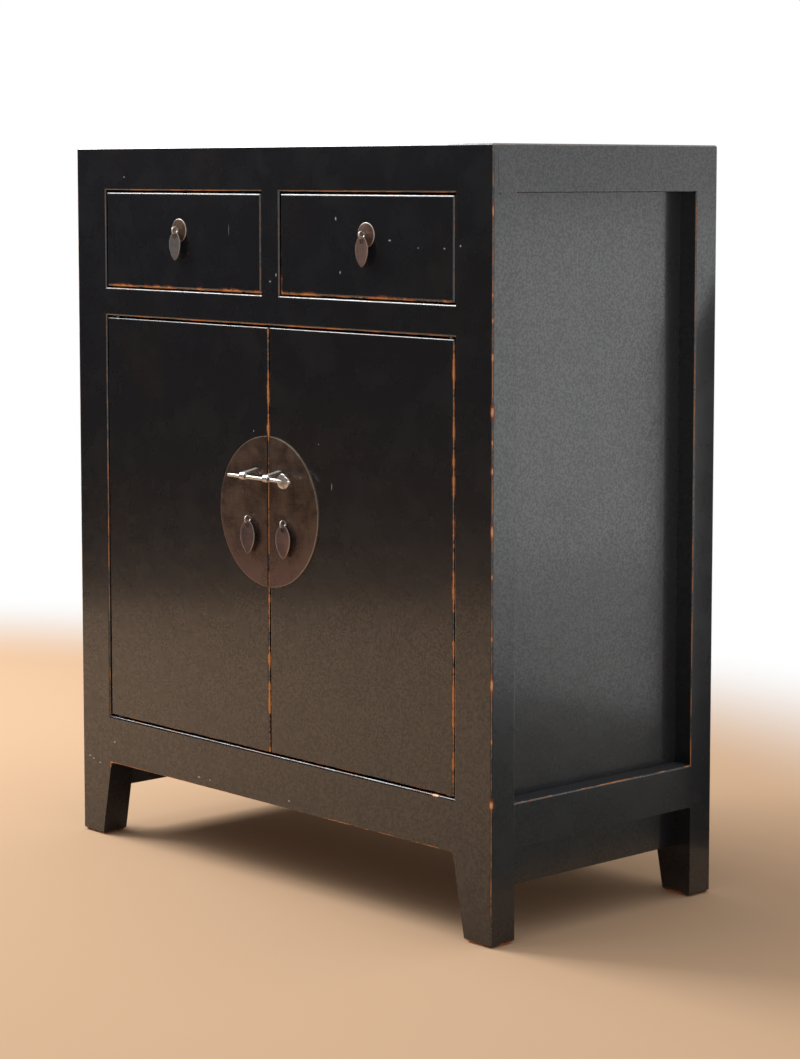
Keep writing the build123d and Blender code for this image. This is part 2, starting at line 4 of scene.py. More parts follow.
import bmesh
import bpy
import numpy as np
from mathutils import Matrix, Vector

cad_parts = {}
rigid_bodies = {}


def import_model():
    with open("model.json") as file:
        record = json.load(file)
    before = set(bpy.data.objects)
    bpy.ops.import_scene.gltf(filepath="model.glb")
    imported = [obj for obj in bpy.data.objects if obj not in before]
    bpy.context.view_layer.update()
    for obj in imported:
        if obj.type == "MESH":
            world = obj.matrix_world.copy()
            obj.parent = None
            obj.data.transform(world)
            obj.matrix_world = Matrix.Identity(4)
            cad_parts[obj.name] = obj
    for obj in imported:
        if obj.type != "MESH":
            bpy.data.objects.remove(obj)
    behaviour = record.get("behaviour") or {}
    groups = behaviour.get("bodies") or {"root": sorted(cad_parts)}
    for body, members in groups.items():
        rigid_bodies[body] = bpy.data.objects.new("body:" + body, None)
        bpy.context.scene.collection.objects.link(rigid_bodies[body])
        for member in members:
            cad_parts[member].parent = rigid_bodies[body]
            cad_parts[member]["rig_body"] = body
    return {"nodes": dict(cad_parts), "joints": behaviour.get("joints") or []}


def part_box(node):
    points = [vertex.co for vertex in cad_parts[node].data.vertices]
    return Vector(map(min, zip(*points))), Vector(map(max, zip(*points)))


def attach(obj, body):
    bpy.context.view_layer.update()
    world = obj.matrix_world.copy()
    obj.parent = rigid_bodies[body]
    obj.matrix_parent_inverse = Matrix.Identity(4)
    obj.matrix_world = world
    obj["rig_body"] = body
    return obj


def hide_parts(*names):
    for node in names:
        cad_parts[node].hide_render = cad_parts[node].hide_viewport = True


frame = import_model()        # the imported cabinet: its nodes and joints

# Black lacquered kang cabinet. Metres, in the frame of the imported model: X to the right, Y to the
# back, Z up, the front facing -Y. The wooden pieces and the two face plates are the imported nodes
# with new finishes; rings, leaves, back plates, staples and the lock pin are smooth pieces here.
MM = 0.001
bpy.context.scene.view_settings.view_transform = "Standard"
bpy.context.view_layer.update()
joints = {joint["name"]: joint for joint in frame["joints"]}

post_low, post_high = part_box("post_front_left")
back_low, back_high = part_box("post_back_right")
front = post_low.y                      # front face of the frame
back = back_high.y
half_width = back_high.x
height = back_high.z
half_opening = -post_high.x


# ---------------------------------------------------------------- camera
def make_camera():
    """A long lens to the right of the cabinet and a little above its middle, looking slightly down."""
    data = bpy.data.cameras.new("camera")
    data.sensor_width = 36.0
    data.lens = 93.46
    data.shift_y = -0.0845
    camera = bpy.data.objects.new("camera", data)
    camera.location = (2.5491, -2.2788, 0.8660)
    look_down, turned_left = 5.52, 47.676        # degrees
    camera.rotation_euler = (radians(90 - look_down), 0.0, radians(turned_left))
    bpy.context.scene.collection.objects.link(camera)
    bpy.context.scene.camera = camera


make_camera()


# ---------------------------------------------------------------- node trees
class Wires:
    """Adds nodes to one tree and joins them; a value may be a number, a tuple or a node's output."""

    def __init__(self, tree):
        self.tree = tree

    def node(self, kind, values=None, **settings):
        made = self.tree.nodes.new(kind)
        for name, value in settings.items():
            setattr(made, name, value)
        for key, value in (values or {}).items():
            self.join(value, made.inputs[key])
        return made

    def join(self, value, socket):
        if isinstance(value, bpy.types.NodeSocket):
            self.tree.links.new(value, socket)
        else:
            socket.default_value = value

    def math(self, operation, *values):
        return self.node("ShaderNodeMath", dict(enumerate(values)), operation=operation).outputs[0]

    def vector(self, operation, *values):
        made = self.node("ShaderNodeVectorMath", dict(enumerate(values)), operation=operation)
        return made.outputs["Value" if operation == "LENGTH" else "Vector"]

    def split(self, vector):
        return self.node("ShaderNodeSeparateXYZ", {0: vector}).outputs

    def combine(self, x, y, z):
        return self.node("ShaderNodeCombineXYZ", {0: x, 1: y, 2: z}).outputs[0]

    def noise(self, place, scale, detail=2.0, roughness=0.5):
        values = {"Vector": place, "Scale": scale, "Detail": detail, "Roughness": roughness}
        return self.node("ShaderNodeTexNoise", values).outputs[0]

    def ramp(self, value, low, high, start=0.0, end=1.0):
        """Start up to low, end from high on, and a soft slope between them."""
        values = {0: value, 1: low, 2: high, 3: start, 4: end}
        return self.node("ShaderNodeMapRange", values, interpolation_type="SMOOTHSTEP").outputs[0]

    def colour(self, mask, below, above):
        """One colour where the mask is 0 and the other where it is 1."""
        values = {0: mask, 6: below, 7: above}
        return self.node("ShaderNodeMix", values, data_type="RGBA").outputs[2]

    def use(self, group, **values):
        """Places a node group and returns its outputs."""
        made = self.node("ShaderNodeGroup", node_tree=group)
        for name, value in values.items():
            self.join(value, made.inputs[name.replace("_", " ").capitalize()])
        return made.outputs


def new_group(name, inputs, outputs):
    """An empty shader group with its sockets: (its wires, its inputs by name, its output sockets)."""
    tree = bpy.data.node_groups.new(name, "ShaderNodeTree")
    for label, kind in inputs:
        tree.interface.new_socket(label, in_out="INPUT", socket_type=kind)
    for label, kind in outputs:
        tree.interface.new_socket(label, in_out="OUTPUT", socket_type=kind)
    wires = Wires(tree)
    return wires, wires.node("NodeGroupInput").outputs, wires.node("NodeGroupOutput").inputs


NUMBER, VECTOR, COLOUR = "NodeSocketFloat", "NodeSocketVector", "NodeSocketColor"


def make_arris_group():
    """Distance from a straight arris in wear widths: the length of (position - point) * reach.

    Reach is one over the wear's width across the arris, and 0 along it."""
    w, given, made = new_group("arris", [("Position", VECTOR), ("Point", VECTOR), ("Reach", VECTOR)],
                               [("Distance", NUMBER)])
    offset = w.vector("SUBTRACT", given["Position"], given["Point"])
    w.join(w.vector("LENGTH", w.vector("MULTIPLY", offset, given["Reach"])), made["Distance"])
    return w.tree


def make_rim_group():
    """Distance from the rim of a rectangle in XZ that faces -Y, in wear widths.

    With q = |position - middle| - half, the distance in the plane is length(max(q, 0)) outside the
    rectangle and max(qx, qz) inside it; the rim distance is the length of that and the depth behind
    the face. Sill, Head, First and Last are the shares of the wear on its lower edge, its upper edge
    and its upright edges at low X and at high X."""
    w, given, made = new_group("rim", [("Position", VECTOR), ("Middle", VECTOR), ("Half", VECTOR),
                                       ("Width", NUMBER), ("Sill", NUMBER), ("Head", NUMBER),
                                       ("First", NUMBER), ("Last", NUMBER)],
                               [("Distance", NUMBER)])
    offset = w.vector("SUBTRACT", given["Position"], given["Middle"])
    beyond = w.vector("SUBTRACT", w.vector("ABSOLUTE", offset), given["Half"])
    x, _, z = w.split(beyond)
    outside = w.vector("LENGTH", w.combine(w.math("MAXIMUM", x, 0.0), 0.0, w.math("MAXIMUM", z, 0.0)))
    inside = w.math("MINIMUM", w.math("MAXIMUM", x, z), 0.0)
    flat = w.math("ADD", outside, inside)
    reach = w.vector("LENGTH", w.combine(flat, w.split(offset)[1], 0.0))

    def share_near(distance, edge):
        """The share of an edge close to it, and 1 from 6 mm away."""
        return w.math("MAXIMUM", w.ramp(distance, 2 * MM, 6 * MM), given[edge])

    above = w.split(w.vector("ADD", offset, given["Half"]))
    below = w.split(w.vector("SUBTRACT", given["Half"], offset))
    level = w.math("MULTIPLY", share_near(above[2], "Sill"), share_near(below[2], "Head"))
    upright = w.math("MULTIPLY", share_near(above[0], "First"), share_near(below[0], "Last"))
    width = w.math("MULTIPLY", given["Width"], w.math("MULTIPLY", level, upright))
    w.join(w.math("DIVIDE", reach, width), made["Distance"])
    return w.tree


def make_wear_group():
    """How far rubbing has gone through the lacquer at a distance from an arris or a chip.

    The reach changes along the arris with slow noise, and its border is ragged with fine noise.
    Undercoat is the widest mask, Wood lies within it, and Pale is a painted highlight in the middle of
    a chip."""
    w, given, made = new_group("rubbed_arris", [("Distance", NUMBER), ("Chip", NUMBER),
                                                ("Position", VECTOR)],
                               [("Undercoat", NUMBER), ("Wood", NUMBER), ("Pale", NUMBER)])
    slow = w.noise(given["Position"], 24.0, 4.0, 0.65)
    reach = w.ramp(slow, 0.41, 0.63, 0.06, 1.6)
    ragged = w.noise(given["Position"], 430.0, 2.0)
    distance = w.math("ADD", given["Distance"], w.math("MULTIPLY_ADD", ragged, 0.9, -0.45))
    chip = w.math("ADD", given["Chip"], w.math("MULTIPLY_ADD", ragged, 0.5, -0.25))
    ratio = w.math("MINIMUM", w.math("DIVIDE", distance, reach), chip)
    w.join(w.ramp(ratio, 0.8, 1.3, 1.0, 0.0), made["Undercoat"])
    w.join(w.ramp(ratio, 0.35, 0.7, 1.0, 0.0), made["Wood"])
    # A painted highlight in the middle of a chip.
    w.join(w.ramp(chip, 0.2, 0.5, 1.0, 0.0), made["Pale"])
    return w.tree


def make_brushed_group():
    """The hand of old lacquer: slow waves, a fine pebble and brush marks, as a height in metres.

    Thin is where the black lies thin over its brown ground, and Dull where it is handled dull."""
    w, given, made = new_group("brushed_lacquer", [("Position", VECTOR)],
                               [("Height", NUMBER), ("Thin", NUMBER), ("Dull", NUMBER),
                                ("Pebble", NUMBER)])
    place = given["Position"]
    wave = w.math("MULTIPLY", w.noise(place, 9.0, 2.0), 0.0009)
    swell = w.math("MULTIPLY", w.noise(place, 42.0, 2.0), 0.00024)
    grains = w.noise(place, 340.0, 2.0, 0.6)
    pebble = w.math("MULTIPLY", grains, 0.000085)
    strokes = w.noise(w.vector("MULTIPLY", place, (420.0, 420.0, 22.0)), 1.0, 2.0)
    marks = w.math("MULTIPLY", strokes, 0.000022)
    height = w.math("ADD", w.math("ADD", wave, swell), w.math("ADD", pebble, marks))
    w.join(height, made["Height"])
    w.join(w.ramp(w.noise(place, 6.0, 4.0, 0.6), 0.5, 0.72), made["Thin"])
    w.join(w.ramp(w.noise(place, 17.0, 3.0, 0.6), 0.42, 0.7), made["Dull"])
    w.join(w.ramp(grains, 0.41, 0.59), made["Pebble"])
    return w.tree


def make_speck_group():
    """Sparse nicks: a cell of the pattern gets one where its own random value is high."""
    w, given, made = new_group("specks", [("Position", VECTOR), ("Scale", NUMBER), ("Size", NUMBER),
                                          ("Share", NUMBER)], [("Mask", NUMBER)])
    cells = w.node("ShaderNodeTexVoronoi", {"Vector": given["Position"], "Scale": given["Scale"]})
    chance = w.split(cells.outputs["Color"])[0]
    chosen = w.math("LESS_THAN", chance, given["Share"])
    size = w.math("MULTIPLY", given["Size"], given["Scale"])
    near = w.ramp(w.math("DIVIDE", cells.outputs["Distance"], size), 0.7, 1.1, 1.0, 0.0)
    w.join(w.math("MULTIPLY", chosen, near), made["Mask"])
    return w.tree


def make_grain_group():
    """Plain sawn wood: fine fibres and slow rings, drawn out along the piece by the given stretch."""
    w, given, made = new_group("wood_grain", [("Position", VECTOR), ("Stretch", VECTOR),
                                              ("Light", COLOUR), ("Dark", COLOUR)],
                               [("Color", COLOUR), ("Height", NUMBER)])
    place = w.vector("MULTIPLY", given["Position"], given["Stretch"])
    rings = w.noise(place, 1.0, 5.0, 0.62)
    fibres = w.noise(w.vector("MULTIPLY", place, (9.0, 9.0, 9.0)), 1.0, 3.0, 0.6)
    tone = w.math("MULTIPLY_ADD", fibres, 0.45, w.math("MULTIPLY", rings, 0.75))
    mask = w.ramp(tone, 0.38, 0.82)
    w.join(w.colour(mask, given["Dark"], given["Light"]), made["Color"])
    w.join(w.math("MULTIPLY", fibres, 0.00012), made["Height"])
    return w.tree


def make_patina_group():
    """Brown skin on old sheet metal: blotches, small pits and fine rubbing marks across and along."""
    w, given, made = new_group("patina", [("Position", VECTOR)],
                               [("Blotch", NUMBER), ("Rub", NUMBER), ("Height", NUMBER)])
    place = given["Position"]
    w.join(w.ramp(w.noise(place, 38.0, 5.0, 0.65), 0.35, 0.68), made["Blotch"])
    across = w.noise(w.vector("MULTIPLY", place, (60.0, 60.0, 1500.0)), 1.0, 2.0)
    along = w.noise(w.vector("MULTIPLY", place, (1500.0, 1500.0, 60.0)), 1.0, 2.0)
    rub = w.math("MULTIPLY", w.math("ADD", across, along), 0.5)
    w.join(w.ramp(rub, 0.42, 0.62), made["Rub"])
    dents = w.math("MULTIPLY", w.noise(place, 90.0, 2.0), 0.00016)
    w.join(w.math("MULTIPLY_ADD", rub, 0.00003, dents), made["Height"])
    return w.tree


leaf_power = 0.868               # sets a leaf's belly at 45 hundredths of its length
leaf_fullness = 0.62


def make_leaf_edge_group():
    """How far out a point on a leaf lies: |x| over the half width there.

    The half width at a share t of the length is half * sin(pi * t ** power) ** fullness."""
    w, given, made = new_group("leaf_edge", [("Position", VECTOR), ("Top", VECTOR), ("Half", NUMBER),
                                             ("Length", NUMBER)], [("Share", NUMBER)])
    x, _, z = w.split(w.vector("SUBTRACT", given["Position"], given["Top"]))
    down = w.math("MAXIMUM", w.math("DIVIDE", w.math("MULTIPLY", z, -1.0), given["Length"]), 0.001)
    angle = w.math("MULTIPLY", w.math("POWER", w.math("MINIMUM", down, 0.999), leaf_power), np.pi)
    outline = w.math("MULTIPLY", w.math("POWER", w.math("SINE", angle), leaf_fullness), given["Half"])
    w.join(w.math("DIVIDE", w.math("ABSOLUTE", x), outline), made["Share"])
    return w.tree


arris_group = make_arris_group()
rim_group = make_rim_group()
wear_group = make_wear_group()
brushed_group = make_brushed_group()
speck_group = make_speck_group()
grain_group = make_grain_group()
patina_group = make_patina_group()
leaf_edge_group = make_leaf_edge_group()


def new_material(name):
    """(material, its wires, its Principled shader, the position on the piece)."""
    material = bpy.data.materials.new(name)
    material.use_nodes = True
    wires = Wires(material.node_tree)
    shader = material.node_tree.nodes["Principled BSDF"]
    place = wires.node("ShaderNodeTexCoord").outputs["Object"]
    return material, wires, shader, place


def bump(wires, shader, height, strength=1.0):
    """Joins a height in metres to the shader's normal."""
    made = wires.node("ShaderNodeBump", {"Height": height, "Strength": strength, "Distance": 1.0})
    wires.join(made.outputs[0], shader.inputs["Normal"])


# ---------------------------------------------------------------- finishes
black = (0.0056, 0.0064, 0.0088, 1.0)
thin_black = (0.0090, 0.0074, 0.0076, 1.0)
undercoat = (0.135, 0.032, 0.012, 1.0)
rubbed_wood = (0.72, 0.31, 0.088, 1.0)
# dark colour of the painted shade round a leaf's hole
painted_hole_shade = (0.010, 0.008, 0.007, 1.0)
# light grey in the black: dust, and a painted sheen on the side panels
dust_and_sheen_grey = (0.16, 0.16, 0.165, 1.0)
# pale colour of the painted highlight in the middle of a chip
chip_glint = (0.74, 0.50, 0.31, 1.0)
# light grey of nicks, also used for a painted highlight line on the side
nick_and_glint_grey = (0.36, 0.35, 0.34, 1.0)
bare_light = (0.30, 0.175, 0.088, 1.0)
bare_dark = (0.145, 0.072, 0.032, 1.0)
back_light = (0.17, 0.10, 0.055, 1.0)
back_dark = (0.07, 0.038, 0.02, 1.0)
bright_iron = (0.61, 0.59, 0.56, 1.0)
pitted_iron = (0.17, 0.135, 0.11, 1.0)

fine, drawn_out = 160.0, 7.0     # scale of the wood's grain across its fibres and along them
upright_grain = (fine, fine, drawn_out)

# Sheet metal: its skin, the skin's blotches, the metal where it is rubbed, which also paints the
# highlight on disc rims, and its roughness.
bronze_sheet = ((0.084, 0.057, 0.046, 1.0), (0.118, 0.078, 0.060, 1.0), (0.48, 0.39, 0.31, 1.0), 0.26)
bronze_foot = (0.160, 0.105, 0.098, 1.0)
copper_sheet = ((0.16, 0.095, 0.066, 1.0), (0.25, 0.145, 0.10, 1.0), (0.70, 0.60, 0.52, 1.0), 0.30)
grey_sheet = ((0.25, 0.235, 0.23, 1.0), (0.14, 0.125, 0.12, 1.0), (0.60, 0.57, 0.54, 1.0), 0.34)
brown_sheet = ((0.28, 0.19, 0.165, 1.0), (0.16, 0.105, 0.09, 1.0), (0.60, 0.49, 0.43, 1.0), 0.34)
plum_sheet = ((0.105, 0.080, 0.095, 1.0), (0.20, 0.110, 0.082, 1.0), (0.58, 0.50, 0.46, 1.0), 0.30)

# The middle of a rounded arris lies this share of its radius in from the sharp corner.
eased_middle = 1 - 0.5 ** 0.5
corner_round = 2.5 * MM
top_edge = 0.9 * MM
opening_round = 3.0 * MM
side_round = 2.0 * MM
drawer_round = 4.0 * MM
door_round = 2.5 * MM
lower_pivot = 11.0 * MM          # how far the wooden pivots stand out below and above a door
upper_pivot = 15.0 * MM


def line(point, width, along):
    """A straight arris through a point, worn to the given width in metres either side of it."""
    return ("line", point, [0.0 if axis == along else 1.0 / width for axis in "xyz"])


def opening_rim(low, high, width, rounding, side=False, sill=1.0, head=1.0, first=1.0, last=1.0):
    """The eased rim of an opening, by its lowest and highest corner in the plane of its face.

    Sill, head, first and last are the shares of the wear on its lower, upper and two upright edges."""
    inset = rounding * eased_middle
    middle = [(a + b) / 2 for a, b in zip(low, high)]
    middle[1] += inset
    half = [(b - a) / 2 + inset for a, b in zip(low, high)]
    return ("side rim" if side else "rim", (middle, half, sill, head, first, last), width)


def chip(point, wide, tall):
    """A lens-shaped chip: its middle, and half its width and half its height in metres."""
    return ("line", point, (1.0 / wide, 1.0 / wide, 1.0 / tall))


def mark(place, wide, tall, side=False):
    """A nick, scratch or crack on the front, or on the sides, by its middle in millimetres."""
    across, z = place
    point = (0.0, across * MM, z * MM) if side else (across * MM, 0.0, z * MM)
    reach_across, reach_up = 1.0 / (wide * MM), 1.0 / (tall * MM)
    return ("line", point, (0.0, reach_across, reach_up) if side else (reach_across, 0.0, reach_up))


def nearest_wear(wires, place, arrises):
    """The smallest distance from the arrises, each in its own wear widths."""
    x, y, z = wires.split(place)
    depth = wires.math("SUBTRACT", half_width, wires.math("ABSOLUTE", x))
    on_side = wires.combine(y, depth, z)
    nearest = None
    for kind, where, width in arrises:
        if kind == "line":
            distance = wires.use(arris_group, position=place, point=where, reach=width)[0]
        else:
            middle, half, sill, head, first, last = where
            position = on_side if kind == "side rim" else place
            distance = wires.use(rim_group, position=position, middle=middle, half=half, width=width,
                                 sill=sill, head=head, first=first, last=last)[0]
        nearest = distance if nearest is None else wires.math("MINIMUM", nearest, distance)
    return nearest


def lacquer(name, arrises, chips=(), nicks_and_glints=(), cracks=(), ledges=(), inside=None, gloss=0.13,
            dust_and_sheen=0.0):
    """Black lacquer over a red-brown ground on wood, rubbed through along arrises and at chips.

    The clear coat's roughness is gloss, and that of the lacquer under it is twice as much. Haze is
    the share of a light grey in the black: dust, and on the side panels also a painted sheen; dust
    makes ledges dull. Nicks are light grey, and on the frame a long thin one is a painted highlight.
    The middle of a chip gets a painted highlight. Behind the plane y = inside, where given, the wood
    is bare."""
    material, w, shader, place = new_material(name)
    height, thin, dull, pebble = w.use(brushed_group, position=place)
    colour = w.colour(dust_and_sheen, w.colour(thin, black, thin_black), dust_and_sheen_grey)
    roughness = w.math("MULTIPLY_ADD", dull, 0.05, 2.0 * gloss)
    rubbed_depth, crack_depth = 0.25 * MM, 0.6 * MM
    far = 100.0                  # in wear widths
    worn = {"distance": nearest_wear(w, place, arrises) if arrises else far,
            "chip": nearest_wear(w, place, chips) if chips else far}
    masks = w.use(wear_group, position=place, **worn)
    colour = w.colour(masks["Undercoat"], colour, undercoat)
    colour = w.colour(masks["Wood"], colour, rubbed_wood)
    # The middle of a chip is painted pale as a highlight.
    colour = w.colour(masks["Pale"], colour, chip_glint)
    relief = w.math("MULTIPLY_ADD", masks["Wood"], -rubbed_depth, height)
    specks = w.use(speck_group, position=place, scale=14.0, size=0.9 * MM, share=0.02)[0]
    # Light grey specks and nicks; on the frame these also hold a painted highlight line.
    if nicks_and_glints:
        specks = w.math("MAXIMUM", specks, w.ramp(nearest_wear(w, place, nicks_and_glints), 0.7, 1.2, 1.0, 0.0))
    colour = w.colour(specks, colour, nick_and_glint_grey)
    matt = w.math("MAXIMUM", masks["Undercoat"], specks)
    if cracks:
        crack = w.ramp(nearest_wear(w, place, cracks), 0.7, 1.2, 1.0, 0.0)
        matt = w.math("MAXIMUM", matt, crack)
        relief = w.math("MULTIPLY_ADD", crack, -crack_depth, relief)
    if ledges:
        dusty = w.ramp(nearest_wear(w, place, ledges), 0.9, 1.1, 1.0, 0.0)
        matt = w.math("MAXIMUM", matt, dusty)
        roughness = w.math("MULTIPLY_ADD", dusty, 0.55, roughness)
    coat = w.math("MULTIPLY", w.math("SUBTRACT", 1.0, matt), w.math("MULTIPLY_ADD", pebble, 0.5, 0.5))
    if inside is not None:
        grain, fibres = w.use(grain_group, position=place, stretch=upright_grain, light=bare_light,
                              dark=bare_dark)
        bare = w.math("GREATER_THAN", w.split(place)[1], inside)
        colour = w.colour(bare, colour, grain)
        roughness = w.math("MULTIPLY_ADD", bare, 0.4, roughness)
        coat = w.math("MULTIPLY", coat, w.math("SUBTRACT", 1.0, bare))
        relief = w.math("MULTIPLY_ADD", w.math("MULTIPLY", bare, fibres), 3.0, relief)
    w.join(colour, shader.inputs["Base Color"])
    w.join(roughness, shader.inputs["Roughness"])
    w.join(coat, shader.inputs["Coat Weight"])
    shader.inputs["Coat Roughness"].default_value = gloss
    bump(w, shader, relief)
    return material


def bare_wood(name, stretch, light=bare_light, dark=bare_dark):
    """Unfinished wood of the inside boards, its grain drawn out along one axis."""
    material, w, shader, place = new_material(name)
    grain, fibres = w.use(grain_group, position=place, stretch=stretch, light=light, dark=dark)
    stain = w.ramp(w.noise(place, 5.0, 4.0, 0.6), 0.45, 0.75, 0.0, 0.55)
    w.join(w.colour(stain, grain, dark), shader.inputs["Base Color"])
    shader.inputs["Roughness"].default_value = 0.72
    bump(w, shader, fibres)
    return material


def patina_skin(name, skin, blotched, bright):
    """The start of a patinated sheet: (material, wires, shader, position, colour, blotches)."""
    material, w, shader, place = new_material(name)
    blotch, rub, relief = w.use(patina_group, position=place)
    colour = w.colour(w.math("MULTIPLY", rub, 0.10), w.colour(blotch, skin, blotched), bright)
    shader.inputs["Metallic"].default_value = 0.75
    bump(w, shader, relief)
    return material, w, shader, place, colour, blotch


def disc_patina(name, skin, blotched, bright, roughness, middle, radius, rim=1.2 * MM, foot=None):
    """A patinated disc, rubbed bright round its edge, with a painted highlight on the rim at the upper
    right, and a redder foot.
    """
    material, w, shader, place, colour, blotch = patina_skin(name, skin, blotched, bright)
    if foot is not None:
        low = middle[2] - radius
        colour = w.colour(w.ramp(w.split(place)[2], low, low + 1.1 * radius, 0.9, 0.0), colour, foot)
    offset = w.vector("MULTIPLY", w.vector("SUBTRACT", place, middle), (1.0, 0.0, 1.0))
    edge = w.math("SUBTRACT", radius, w.vector("LENGTH", offset))
    x, _, z = w.split(offset)
    # The rim is brighter towards the upper right: a painted highlight there, on top of the rubbed
    # edge.
    toward_glint = w.math("MULTIPLY_ADD", x, 0.85, w.math("MULTIPLY", z, 0.5))
    rub_and_glint = w.math("MULTIPLY", w.ramp(w.math("DIVIDE", edge, rim), 0.5, 1.2, 0.85, 0.0),
                    w.ramp(toward_glint, -0.6 * radius, 0.6 * radius, 0.35, 1.0))
    colour = w.colour(rub_and_glint, colour, bright)
    w.join(colour, shader.inputs["Base Color"])
    w.join(w.math("MULTIPLY_ADD", blotch, 0.14, roughness), shader.inputs["Roughness"])
    return material


def leaf_patina(node, hole, skin, blotched, bright, roughness):
    """A patinated leaf, rubbed bright along its outline, with painted shade round and below its hole.
    """
    name = "leaf_patina_" + node
    material, w, shader, place, colour, blotch = patina_skin(name, skin, blotched, bright)
    low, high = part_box(node)
    share = w.use(leaf_edge_group, position=place, top=((low.x + high.x) / 2, 0.0, high.z),
                  half=(high.x - low.x) / 2, length=high.z - low.z)[0]
    colour = w.colour(w.ramp(share, 0.78, 0.98, 0.0, 0.45), colour, bright)
    # Painted shade round a point just below the hole, where the hole lies in shade.
    away = w.vector("LENGTH", w.vector("SUBTRACT", place, hole))
    colour = w.colour(w.ramp(away, 2.4 * MM, 4.0 * MM, 0.9, 0.0), colour, painted_hole_shade)
    w.join(colour, shader.inputs["Base Color"])
    w.join(w.math("MULTIPLY_ADD", blotch, 0.14, roughness), shader.inputs["Roughness"])
    return material


def handled_steel(name):
    """Bare iron, bright where it is handled and grey-brown in its pits."""
    material, w, shader, place = new_material(name)
    pits = w.ramp(w.noise(place, 260.0, 4.0, 0.65), 0.5, 0.72)
    w.join(w.colour(pits, bright_iron, pitted_iron), shader.inputs["Base Color"])
    shader.inputs["Metallic"].default_value = 0.9
    w.join(w.math("MULTIPLY_ADD", pits, 0.2, 0.33), shader.inputs["Roughness"])
    bump(w, shader, w.math("MULTIPLY", w.noise(place, 700.0, 2.0), 0.00006))
    return material


def paint(node, material):
    """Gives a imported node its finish."""
    for material_slot in frame["nodes"][node].material_slots:
        material_slot.material = material


# ---------------------------------------------------------------- the frame and the boards
def board_edges(low, high, rounding, left, right, bottom, top):
    """The four rounded front arrises of a board, each with its own width of wear."""
    inset = rounding * eased_middle
    face = low[1] + inset
    return [line((low[0] + inset, face, 0), left, "z"), line((high[0] - inset, face, 0), right, "z"),
            line((0, face, low[2] + inset), bottom, "x"), line((0, face, high[2] - inset), top, "x")]


def finish_frame():
    """One lacquer for posts, rails and the short post, worn at the openings and the outer corners."""
    mid_low, mid_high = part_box("mid_rail_front")
    divider_low, divider_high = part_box("drawer_divider")
    top_low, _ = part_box("top_rail_front")
    _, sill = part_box("bottom_rail_front")
    _, side_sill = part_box("bottom_rail_right")
    panel_front = front + (post_high.y - post_low.y)
    panel_back = back_low.y
    apron_low = 100.0 * MM
    foot_wear = 3.5 * MM
    corner = corner_round * eased_middle
    arrises = [
        opening_rim((-half_opening, front, mid_high.z), (divider_low.x, front, top_low.z), 1.1 * MM,
                    opening_round, sill=0.2, head=0.6, first=0.2, last=0.15),
        opening_rim((divider_high.x, front, mid_high.z), (half_opening, front, top_low.z), 1.2 * MM,
                    opening_round, sill=0.2, head=0.6, first=0.2, last=0.15),
        opening_rim((-half_opening, front, sill.z), (half_opening, front, mid_low.z), 1.0 * MM,
                    opening_round, sill=0.2, first=0.4, last=0.75),
        opening_rim((-half_opening, front, -1.0), (half_opening, front, apron_low), 0.6 * MM, 0.0),
        opening_rim((panel_front, 0, side_sill.z), (panel_back, 0, top_low.z), 0.9 * MM, side_round,
                    side=True, sill=0.85, head=0.08, first=0.2, last=0.45),
        ("line", (0.0, 0.0, 0.0), (0.0, 0.0, 1.0 / foot_wear)),
        line((half_width - corner, front + corner, 0), 0.4 * MM, "z"),
        line((-half_width + corner, front + corner, 0), 1.3 * MM, "z"),
        line((half_width - corner, back - corner, 0), 1.1 * MM, "z"),
        line((-half_width + corner, back - corner, 0), 1.1 * MM, "z"),
        line((0, front + top_edge, height - top_edge), 0.25 * MM, "x"),
        line((half_width - top_edge, 0, height - top_edge), 0.2 * MM, "y"),
        line((-half_width + top_edge, 0, height - top_edge), 0.8 * MM, "y"),
    ]
    corner_chips = (             # height, half width and half height in millimetres
        (826, 1.4, 12), (734, 1.3, 6), (706, 1.4, 5), (665, 1.8, 9), (605, 3.0, 11), (571, 1.5, 6),
        (539, 2.0, 7), (472, 2.6, 11), (421, 1.3, 5), (352, 1.4, 6), (300, 2.6, 13), (236, 1.2, 5),
        (164, 3.8, 8))
    chips = [chip((half_width - corner, front + corner, z * MM), wide * MM, tall * MM)
             for z, wide, tall in corner_chips]
    chips.append(chip((295.5 * MM, front + 0.8 * MM, sill.z - 0.8 * MM), 9 * MM, 2.2 * MM))
    nicks_and_glints = [mark(place, wide, tall) for place, wide, tall in (
        ((-285.4, 862.6), 1.3, 0.9), ((4.6, 738.1), 1.6, 1.0), ((15.9, 746.2), 1.0, 1.8),
        ((335.8, 786.9), 1.2, 1.2), ((-317.3, 127.7), 1.4, 1.1), ((-139.9, 110.3), 2.6, 0.8),
        ((-117.6, 110.1), 1.2, 1.0), ((36.2, 109.6), 1.8, 0.9), ((-372, 101.5), 2.4, 0.7),
        ((-364, 99), 2.4, 0.7), ((-350, 95.5), 2.4, 0.7))]
    cracks = [mark((-164.7, 871), 0.4, 24, side=True), mark((-161.8, 844.5), 1.6, 1.6, side=True)]
    side_middle, side_reach = (panel_front + panel_back) / 2, (panel_back - panel_front) / 2
    # Painted highlight: a thin light line down the side's front stile along its inner arris, drawn
    # with the nick colour.
    nicks_and_glints.append(mark((panel_front / MM - 0.3, 500.0), 0.35, 345.0, side=True))
    ledges = [("line", (0.0, side_middle, side_sill.z), (0.0, 1.0 / side_reach, 1.0 / (0.4 * MM)))]
    frame_lacquer = lacquer("black_lacquer_frame", arrises, chips, nicks_and_glints, cracks, ledges)
    for node in frame["nodes"]:
        if node.startswith(("post_", "top_", "bottom_rail", "lower_board")) or node in (
                "mid_rail_front", "drawer_divider"):
            paint(node, frame_lacquer)


